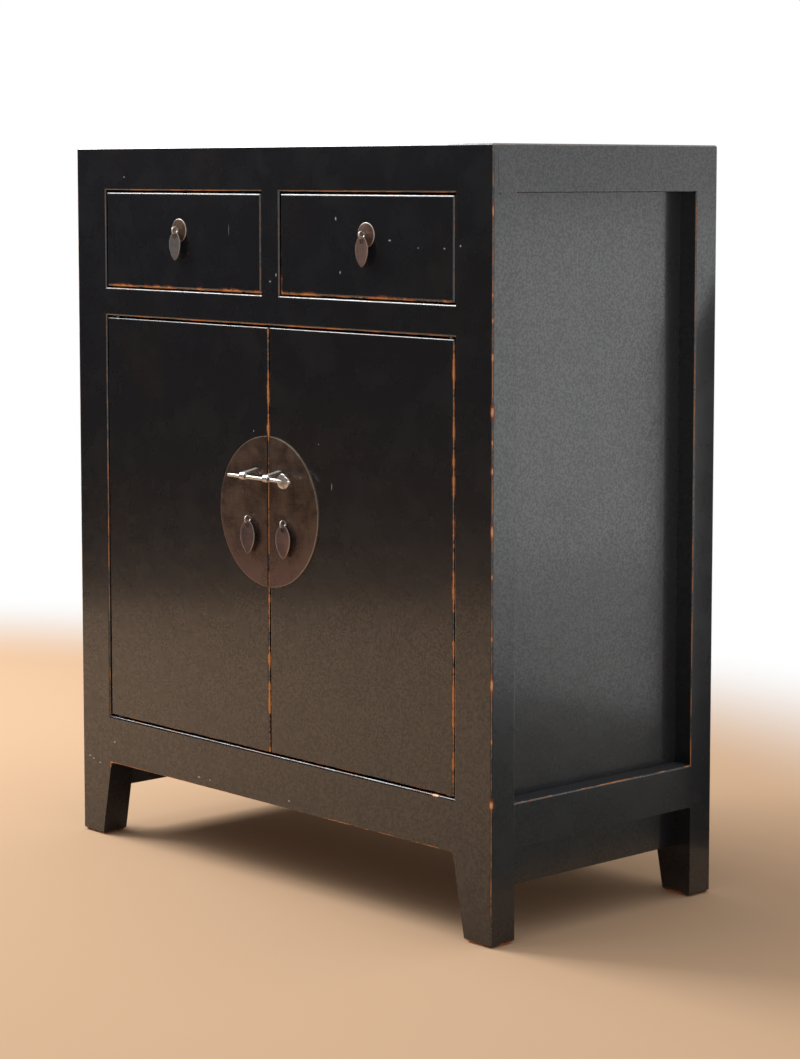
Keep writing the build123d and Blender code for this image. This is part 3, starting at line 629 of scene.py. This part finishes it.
def finish_boards():
    """Doors, drawer fronts and side panels, each worn along its own arrises."""
    boards = {"door_left_panel": (door_round, 0.5, 1.9, 0.5, 0.2),
              "door_right_panel": (door_round, 0.6, 1.6, 0.5, 0.2),
              "drawer_left_front": (drawer_round, 0.3, 0.25, 2.7, 0.2),
              "drawer_right_front": (drawer_round, 2.3, 0.25, 2.6, 0.2)}
    nicks_and_glints = {"drawer_left_front": [mark((-75.1, 798.5), 0.22, 7.0)],
             "drawer_right_front": [mark(place, wide, tall) for place, wide, tall in (
                 ((123.7, 814.6), 1.3, 2.0), ((217.5, 790.9), 2.0, 1.0), ((308.6, 783.4), 1.3, 1.0),
                 ((131.5, 752.2), 1.0, 1.8), ((265.5, 783.3), 1.0, 0.6))],
             "door_left_panel": [mark((-29.0, 555.7), 0.7, 1.2)],
             "door_right_panel": [mark((115.5, 499.5), 0.5, 4.0), mark((92.0, 548.0), 0.8, 0.8)]}
    for node, (rounding, *widths) in boards.items():
        low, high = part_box(node)
        pivots = (lower_pivot, upper_pivot) if node.startswith("door") else (0.0, 0.0)
        ends = (low.x, low.y, low.z + pivots[0]), (high.x, high.y, high.z - pivots[1])
        edges = board_edges(*ends, rounding, *[width * MM for width in widths])
        bare_from = high.y - 0.5 * MM
        paint(node, lacquer("black_lacquer_" + node, edges, nicks_and_glints=nicks_and_glints[node], inside=bare_from))
    # The side panels take a little light grey: dust, and a painted sheen.
    panel_lacquer = lacquer("black_lacquer_panels", [], gloss=0.125, dust_and_sheen=0.10)
    for node in ("side_panel_left", "side_panel_right"):
        paint(node, panel_lacquer)


def finish_bare_boards():
    """Inside boards in bare wood: grain along X, along Y or along Z by how each board is laid."""
    along_x = bare_wood("bare_wood_across", (drawn_out, fine, fine))
    along_y = bare_wood("bare_wood_deep", (fine, drawn_out, fine))
    along_z = bare_wood("bare_wood_upright", upright_grain, back_light, back_dark)
    for node in ("drawer_deck", "shelf", "bottom_board", "mid_rail_back", "drawer_left_back",
                 "drawer_right_back", "drawer_left_bottom", "drawer_right_bottom",
                 "door_left_battens", "door_right_battens"):
        paint(node, along_x)
    for node in frame["nodes"]:
        if "_bearer_" in node or "_guide_" in node or "_side_" in node and node.startswith("drawer"):
            paint(node, along_y)
    paint("back_panel", along_z)


finish_frame()
finish_boards()
finish_bare_boards()


# ---------------------------------------------------------------- surfaces
def grid_faces(rows, columns, wrap_rows, start):
    """Corner numbers of the faces of a grid whose columns wrap round, and its rows where asked."""
    row = np.arange(rows if wrap_rows else rows - 1)[:, None]
    column = np.arange(columns)[None, :]
    next_row, next_column = (row + 1) % rows, (column + 1) % columns
    corners = [row * columns + column, row * columns + next_column,
               next_row * columns + next_column, next_row * columns + column]
    return np.stack(np.broadcast_arrays(*corners), axis=-1).reshape(-1, 4) + start


def piece(name, grids, material, node, wrap_rows=False):
    """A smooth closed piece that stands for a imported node.

    Each grid is (rows, columns, 3) points; its seams and poles are merged and its faces turned out."""
    points, faces, start = [], [], 0
    for grid in grids:
        rows, columns, _ = grid.shape
        points.append(grid.reshape(-1, 3))
        faces.append(grid_faces(rows, columns, wrap_rows, start))
        start += rows * columns
    mesh = bpy.data.meshes.new(name)
    mesh.from_pydata(np.concatenate(points).tolist(), [], np.concatenate(faces).tolist())
    work = bmesh.new()
    work.from_mesh(mesh)
    bmesh.ops.remove_doubles(work, verts=work.verts, dist=1e-6)
    bmesh.ops.recalc_face_normals(work, faces=work.faces)
    work.to_mesh(mesh)
    work.free()
    mesh.shade_smooth()
    mesh.materials.append(material)
    made = bpy.data.objects.new(name, mesh)
    bpy.context.scene.collection.objects.link(made)
    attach(made, frame["nodes"][node]["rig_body"])
    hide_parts(node)


def softened(corners, step, rounding):
    """A bent path in the plane of Y and Z: points every step along the corners, then a running mean.

    The mean is taken over the rounding length, and the path is padded so that its ends stay put."""
    corners = np.array(corners, float)
    lengths = np.hypot(*np.diff(corners, axis=0).T)
    along = np.concatenate([[0.0], np.cumsum(lengths)])
    places = np.linspace(0.0, along[-1], int(along[-1] / step) + 1)
    path = np.stack([np.interp(places, along, corners[:, axis]) for axis in (0, 1)], axis=1)
    reach = max(1, int(rounding / step / 2))
    first = 2 * path[0] - path[reach:0:-1]
    last = 2 * path[-1] - path[-2:-reach - 2:-1]
    padded = np.concatenate([first, path, last])
    kernel = np.ones(2 * reach + 1) / (2 * reach + 1)
    return np.stack([np.convolve(padded[:, axis], kernel, mode="valid") for axis in (0, 1)], axis=1)


def carried(path, x, across, along_normal):
    """A closed section carried along a path in the plane of Y and Z, with both its ends drawn shut.

    A point of the section is `across` along X and `along_normal` along the path's normal in the plane;
    both are arrays (path points, section points)."""
    tangent = np.gradient(path, axis=0)
    tangent /= np.linalg.norm(tangent, axis=1)[:, None]
    normal = np.stack([-tangent[:, 1], tangent[:, 0]], axis=1)
    grid = np.empty(across.shape + (3,))
    grid[..., 0] = x + across
    grid[..., 1] = path[:, :1] + along_normal * normal[:, :1]
    grid[..., 2] = path[:, 1:] + along_normal * normal[:, 1:]
    ends = [np.broadcast_to(grid[row].mean(axis=0), grid[:1].shape) for row in (0, -1)]
    return np.concatenate([ends[0], grid, ends[1]])


def turned(profile, middle, axis, sides=64):
    """A profile of (place along the axis, radius) turned round it: cos and sin round the middle."""
    profile = np.array(profile, float)
    angle = np.linspace(0.0, tau, sides, endpoint=False)
    grid = np.empty((len(profile), sides, 3))
    others = [index for index in range(3) if index != axis]
    grid[..., axis] = middle[axis] + profile[:, :1]
    grid[..., others[0]] = middle[others[0]] + profile[:, 1:] * np.cos(angle)
    grid[..., others[1]] = middle[others[1]] + profile[:, 1:] * np.sin(angle)
    return grid


# ---------------------------------------------------------------- rings
ring_radius = 4.2 * MM
ring_wire = 0.92 * MM
ring_leg = 0.80 * MM             # radius of each leg where they lie together
steel = handled_steel("handled_steel")


def cotter_ring(name, centre, board_back):
    """A round wire bent to a loop, its two legs side by side through the board and turned over.

    The wire's circle is carried along the bent path, thicker round the loop than in the legs."""
    x, y, z = centre
    turn = np.linspace(radians(14), radians(346), 60)
    loop = np.stack([y + ring_radius * np.cos(turn), z + ring_radius * np.sin(turn)], axis=1)
    back_y = board_back + ring_leg
    clinch = 8.5 * MM
    corners = [(back_y, z + clinch), (back_y, z + ring_leg), *loop, (back_y, z - ring_leg),
               (back_y, z - clinch)]
    path = softened(corners, 0.25 * MM, 1.6 * MM)
    from_middle = np.hypot(path[:, 0] - y, path[:, 1] - z)
    loop_share = np.clip((ring_radius * 1.9 - from_middle) / ring_radius, 0.0, 1.0)
    radius = (ring_leg + (ring_wire - ring_leg) * loop_share)[:, None]
    angle = np.linspace(0.0, tau, 20, endpoint=False)
    piece(name + "_round", [carried(path, x, radius * np.cos(angle), radius * np.sin(angle))],
          steel, name)


# ---------------------------------------------------------------- leaves
leaf_hole = 2.5 * MM
leaf_hang = 1.15 * MM            # middle of the hole below the lowest point of the ring


def leaf(name, material, centre):
    """A stamped leaf hanging on its ring, with a hole, a soft bevel, a slight dish and two creases.

    Its half width at a share t of the length is half * sin(pi * t ** power) ** fullness. Round that
    outline, the surface runs from the hole's wall over the front to the edge and back behind."""
    low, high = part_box(name)
    x, y, z = centre
    half = (high.x - low.x) / 2
    length = high.z - low.z
    hole_z = z - ring_radius - leaf_hang
    round_it = np.linspace(0.0, tau, 144, endpoint=False)
    share = (1 - np.cos(round_it)) / 2
    side = np.sign(np.sin(round_it))
    outline_x = side * half * np.sin(np.pi * share ** leaf_power).clip(0.0) ** leaf_fullness
    outline_z = high.z - length * share
    angle = np.arctan2(outline_z - hole_z, outline_x)
    rim_x, rim_z = leaf_hole * np.cos(angle), hole_z + leaf_hole * np.sin(angle)
    thick = (high.y - low.y) / 2
    rows = [(0.0, 0.75), (0.03, 1.0)] + [(share_out, 1.0) for share_out in np.linspace(0.1, 0.93, 10)]
    rows += [(0.985, 0.80), (1.0, 0.35), (1.0, -0.35), (0.985, -0.80)]
    rows += [(share_out, -1.0) for share_out in np.linspace(0.93, 0.1, 10)]
    rows += [(0.03, -1.0), (0.0, -0.75)]
    out = np.array([row[0] for row in rows])[:, None]
    lift = np.array([row[1] for row in rows])[:, None]
    across = rim_x + out * (outline_x - rim_x)
    down = rim_z + out * (outline_z - rim_z)
    along = ((high.z - down) / length).clip(0, 1)
    dish = 0.55 * thick * (1 - (across / half) ** 2) * np.sin(np.pi * along)
    crease = 0.25 * thick * np.exp(-((np.abs(across) - 0.45 * half) / (0.07 * half)) ** 2)
    flat = 0.72 * thick * lift - (dish - 0.28 * thick) - crease * (lift > 0)
    grid = np.stack([x + across, np.clip(y - flat, low.y, high.y), down], axis=-1)
    piece(name + "_stamped", [grid], material, name, wrap_rows=True)


# ---------------------------------------------------------------- pulls
def back_plate(name, centre_x, centre_z, ring_hole):
    """A thin round plate raised to a low crown, with a flat collar, rubbed bright and with a painted
    highlight at the upper right, and a hole for the ring.

    Its profile is turned round the ring's axis; inside the collar its height at a radius r is
    edge + (deep - edge) * (1 - (r / collar) ** 2.2)."""
    low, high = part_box(name)
    radius = (high.x - low.x) / 2
    deep = high.y - low.y
    edge = 0.7 * MM
    collar = 0.88 * radius
    inner = np.linspace(ring_hole, collar, 14)
    crown = edge + (deep - edge) * (1 - (inner / collar) ** 2.2)
    profile = [(0.0, ring_hole)] + [(-rise, r) for rise, r in zip(crown, inner)]
    profile += [(-edge * 1.05, radius - 0.5 * MM), (-edge * 0.7, radius), (-0.1 * MM, radius),
                (0.0, radius - 0.2 * MM), (0.0, ring_hole)]
    middle = (centre_x, high.y, centre_z)
    disc = disc_patina("copper_patina_" + name, *copper_sheet, middle, radius, 1.3 * MM)
    piece(name + "_crowned", [turned(profile, middle, 1)], disc, name)


def make_pulls():
    """Ring and leaf on each door and drawer, and the back plates of the drawers."""
    leaf_sheets = {"drawer_left": grey_sheet, "drawer_right": brown_sheet, "door_left": plum_sheet,
                   "door_right": plum_sheet}
    for holder, sheet in leaf_sheets.items():
        centre = joints[holder + "_pull_swing"]["pos_m"]
        # Middle of the painted shade on the leaf, just below its hole.
        hole_shade_middle = (centre[0], centre[1], centre[2] - ring_radius - leaf_hang - 1.5 * MM)
        finish = leaf_patina(holder + "_leaf", hole_shade_middle, *sheet)
        board = holder + ("_front" if holder.startswith("drawer") else "_panel")
        cotter_ring(holder + "_ring", centre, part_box(board)[1].y)
        leaf(holder + "_leaf", finish, centre)
    for holder in ("drawer_left", "drawer_right"):
        centre = joints[holder + "_pull_swing"]["pos_m"]
        back_plate(holder + "_backplate", centre[0], centre[2], 1.75 * MM)


make_pulls()


# ---------------------------------------------------------------- face plates, staples and pin
def finish_face_plates():
    """The two halves of the round face plate share one middle, rubbed bright along the round edge,
    with a painted highlight on the rim at the upper right.
    """
    low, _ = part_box("door_left_plate")
    _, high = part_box("door_right_plate")
    middle = ((low.x + high.x) / 2, low.y, (low.z + high.z) / 2)
    bronze = disc_patina("bronze_patina_plate", *bronze_sheet, middle, (high.x - low.x) / 2,
                         foot=bronze_foot)
    paint("door_left_plate", bronze)
    paint("door_right_plate", bronze)


def folded_staple(name):
    """A strap folded round an eye, both legs through plate and board and turned over behind.

    A rounded rectangle is carried along the bent path; the strap narrows a little behind the eye."""
    low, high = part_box(name)
    strap = 1.3 * MM
    eye = 3.4 * MM + strap / 2
    eye_y = low.y + eye + strap / 2
    leg_z = (high.z + low.z) / 2
    drop = 7.1 * MM              # of the eye's middle below the legs
    eye_z = leg_z - drop
    back_y = high.y - strap / 2
    plate_y = front - 0.5 * MM
    clinch = high.z - leg_z
    apart = strap / 2 + 0.1 * MM
    turn = np.linspace(radians(90), radians(385), 40)
    bend = np.stack([eye_y + eye * np.cos(turn), eye_z + eye * np.sin(turn)], axis=1)
    corners = [(back_y, leg_z + clinch), (back_y, leg_z + apart), (plate_y, leg_z + apart), *bend,
               (plate_y, leg_z - apart), (back_y, leg_z - apart), (back_y, leg_z - clinch)]
    path = softened(corners, 0.3 * MM, 1.2 * MM)
    wide = (high.x - low.x) / 2
    behind = np.clip((path[:, :1] - eye_y - eye) / (6 * MM), 0.0, 1.0)
    narrowing = 0.22
    half = wide * (1 - narrowing * behind)
    angle = np.linspace(0.0, tau, 32, endpoint=False)
    squared = 0.32               # power of cos and sin that squares the section's corners
    across = half * np.sign(np.cos(angle)) * np.abs(np.cos(angle)) ** squared
    thick = strap / 2 * np.sign(np.sin(angle)) * np.abs(np.sin(angle)) ** squared
    grid = carried(path, (low.x + high.x) / 2, across, np.broadcast_to(thick, across.shape))
    piece(name + "_strap", [grid], steel, name)


def pin_head(middle, half_wide, half_tall, thick):
    """A flat leaf-shaped knob: an ellipse drawn up to an apex, hollowed at one shoulder.

    Its radius at an angle is the ellipse's times 1 + apex - hollow, each a bell curve of the angle;
    the surface runs from the front pole over a bevel to the back pole."""
    angle = np.linspace(0.0, tau, 96, endpoint=False)
    ellipse = 1 / np.hypot(np.cos(angle) / half_wide, np.sin(angle) / half_tall)

    def bell(centre, spread):
        away = (angle - radians(centre) + np.pi) % tau - np.pi
        return np.exp(-(away / radians(spread)) ** 2)

    outline = ellipse * (1 + 0.05 * bell(103, 17) - 0.20 * bell(52, 20) - 0.05 * bell(140, 22))
    rows = [(0.0, 1.0), (0.5, 1.0), (0.86, 0.98), (0.95, 0.75), (1.0, 0.3), (1.0, -0.3), (0.95, -0.75),
            (0.86, -0.98), (0.5, -1.0), (0.0, -1.0)]
    out = np.array([row[0] for row in rows])[:, None]
    lift = np.array([row[1] for row in rows])[:, None]
    grid = np.empty((len(rows), len(angle), 3))
    grid[..., 0] = middle[0] + out * outline * np.cos(angle)
    grid[..., 1] = middle[1] - lift * thick
    grid[..., 2] = middle[2] + out * outline * np.sin(angle)
    return grid


def make_lock_pin():
    """A turned pin, a shade thinner towards its tip, with the flat knob and its small nub."""
    low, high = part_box("lock_pin")
    nub_reach = 2.2 * MM
    half_wide = 11.0 * MM
    half_tall = (high.z - low.z) / 2
    y = (low.y + high.y) / 2
    z = (low.z + high.z) / 2
    head_x = high.x - nub_reach - half_wide
    shaft = 2.3 * MM
    start = low.x
    profile = [(0.0, 0.0), (0.0, 0.66 * shaft), (0.25 * MM, 0.80 * shaft), (0.8 * MM, 0.88 * shaft),
               (14 * MM, 0.95 * shaft), (40 * MM, shaft), (head_x - start - 8 * MM, shaft),
               (head_x - start - 2 * MM, 0.8 * shaft), (head_x - start, 0.0)]
    nub = [(0.0, 0.0), (0.0, 1.9 * MM), (2 * nub_reach - 0.8 * MM, 1.9 * MM),
           (2 * nub_reach - 0.2 * MM, 1.5 * MM), (2 * nub_reach, 0.9 * MM), (2 * nub_reach, 0.0)]
    nub_start = (head_x + half_wide - nub_reach, y, z)
    grids = [turned(profile, (start, y, z), 0, 32), turned(nub, nub_start, 0, 24),
             pin_head((head_x, y, z), half_wide, half_tall * 0.95, 1.3 * MM)]
    piece("lock_pin_turned", grids, steel, "lock_pin")


finish_face_plates()
folded_staple("door_left_staple")
folded_staple("door_right_staple")
make_lock_pin()


# ---------------------------------------------------------------- studio
def show_white(wires, seen, shader, kind):
    """Where `seen` is 1, the camera and reflections meet plain white instead of the shader."""
    path = wires.node("ShaderNodeLightPath").outputs
    looks = wires.math("MAXIMUM", path["Is Camera Ray"], wires.math(
        "MAXIMUM", path["Is Glossy Ray"], path["Is Transmission Ray"]))
    white = wires.node(kind, {"Color": (1, 1, 1, 1), "Strength": 1.0}).outputs[0]
    mask = wires.math("MULTIPLY", looks, seen)
    return wires.node("ShaderNodeMixShader", {0: mask, 1: shader, 2: white}).outputs[0]


def make_floor():
    """A plain pale floor that fades into white some way behind the cabinet."""
    radius, sides = 9.0, 96
    angle = np.linspace(0.0, tau, sides, endpoint=False)
    rim = np.stack([radius * np.cos(angle), radius * np.sin(angle), np.zeros(sides)], axis=1)
    mesh = bpy.data.meshes.new("floor")
    mesh.from_pydata(rim.tolist(), [], [list(range(sides))])
    floor = bpy.data.objects.new("floor", mesh)
    bpy.context.scene.collection.objects.link(floor)
    material = bpy.data.materials.new("pale_floor")
    material.use_nodes = True
    w = Wires(material.node_tree)
    shader = material.node_tree.nodes["Principled BSDF"]
    place = w.node("ShaderNodeTexCoord").outputs["Object"]
    shader.inputs["Base Color"].default_value = (0.58, 0.378, 0.236, 1.0)
    shader.inputs["Roughness"].default_value = 0.9
    shader.inputs["Specular IOR Level"].default_value = 0.0
    middle, inner, outer = (-0.5, -1.0, 0.0), 1.75, 2.5
    far = w.ramp(w.vector("LENGTH", w.vector("SUBTRACT", place, middle)), inner, outer)
    output = material.node_tree.nodes["Material Output"]
    w.join(show_white(w, far, shader.outputs[0], "ShaderNodeEmission"), output.inputs["Surface"])
    mesh.materials.append(material)


def make_world():
    """White where it is seen, and a low even light for the rest."""
    world = bpy.data.worlds.new("studio")
    world.use_nodes = True
    w = Wires(world.node_tree)
    dim = world.node_tree.nodes["Background"]
    dim.inputs["Color"].default_value = (0.93, 0.96, 1.0, 1.0)
    dim.inputs["Strength"].default_value = 0.42
    output = world.node_tree.nodes["World Output"]
    w.join(show_white(w, 1.0, dim.outputs[0], "ShaderNodeBackground"), output.inputs["Surface"])
    bpy.context.scene.world = world


def make_lamp(name, place, aim, wide, tall, power, colour=(1.0, 1.0, 1.0)):
    """A soft box at a place, turned to its aim."""
    data = bpy.data.lights.new(name, "AREA")
    data.shape = "RECTANGLE"
    data.size, data.size_y = wide, tall
    data.energy = power
    data.color = colour
    lamp = bpy.data.objects.new(name, data)
    lamp.location = place
    direction = (np.array(aim) - np.array(place)).tolist()
    lamp.rotation_mode = "QUATERNION"
    lamp.rotation_quaternion = Vector(direction).to_track_quat("-Z", "Y")
    lamp.visible_camera = False
    bpy.context.scene.collection.objects.link(lamp)


def make_card(name, corners, colour):
    """A dark cloth card that only reflections see, and that casts no shadow: it paints a dark
    reflection.
    """
    mesh = bpy.data.meshes.new(name)
    mesh.from_pydata(corners, [], [(0, 1, 2, 3)])
    card = bpy.data.objects.new(name, mesh)
    card.visible_camera = False
    card.visible_shadow = False
    card.visible_diffuse = False
    bpy.context.scene.collection.objects.link(card)
    material = bpy.data.materials.new(name)
    material.use_nodes = True
    shader = material.node_tree.nodes["Principled BSDF"]
    shader.inputs["Base Color"].default_value = colour
    shader.inputs["Roughness"].default_value = 0.9
    mesh.materials.append(material)


def make_cards():
    """Painted dark reflections: a card that keeps the front black, and cards that stand for a shaded
    floor and a shaded wall, painted shade that keeps the foot of the right side and the back post
    dark.
    """
    distance, half_wide, tall = 2.35, 2.6, 2.1
    toward = np.array([-0.745, -0.667])
    along = np.array([-toward[1], toward[0]])
    left, right = [toward * distance + turn * along * half_wide for turn in (-1, 1)]
    make_card("front_card", [(*left, 0.0), (*right, 0.0), (*right, tall), (*left, tall)],
              (0.022, 0.021, 0.026, 1.0))
    # A card for the shaded floor right of the cabinet, seen only in reflections: painted shade.
    near_x, far_x, lift = 0.56, 2.4, 0.002
    near_y, far_y = -0.9, 0.945
    make_card("floor_card", [(near_x, near_y, lift), (far_x, near_y, lift), (far_x, far_y, lift),
                             (near_x, far_y, lift)], (0.18, 0.175, 0.152, 1.0))
    # A card for the shaded wall behind the back post, seen only in reflections: painted shade.
    post_y, inner_x, outer_x = back + 0.16, 0.49, 0.57
    inner_top, outer_top = 0.80, 0.66
    make_card("post_card", [(inner_x, post_y, 0.0), (outer_x, post_y, 0.0),
                            (outer_x, post_y, outer_top), (inner_x, post_y, inner_top)],
              (0.04, 0.036, 0.032, 1.0))


make_floor()
make_world()
make_cards()
make_lamp("key", (-1.5, -2.0, 3.1), (0.0, 0.0, 0.3), 2.2, 2.2, 26.0)
make_lamp("overhead", (0.4, 0.3, 3.3), (0.0, 0.0, 0.5), 2.6, 2.6, 34.0)
make_lamp("window", (-2.28, -0.77, 2.4), (0.0, -0.17, 0.5), 1.6, 1.6, 112.0, (0.95, 0.98, 1.0))
make_lamp("side", (2.5, 1.95, 0.40), (half_width, 0.0, 0.45), 1.7, 0.75, 2.35, (0.94, 0.97, 1.0))
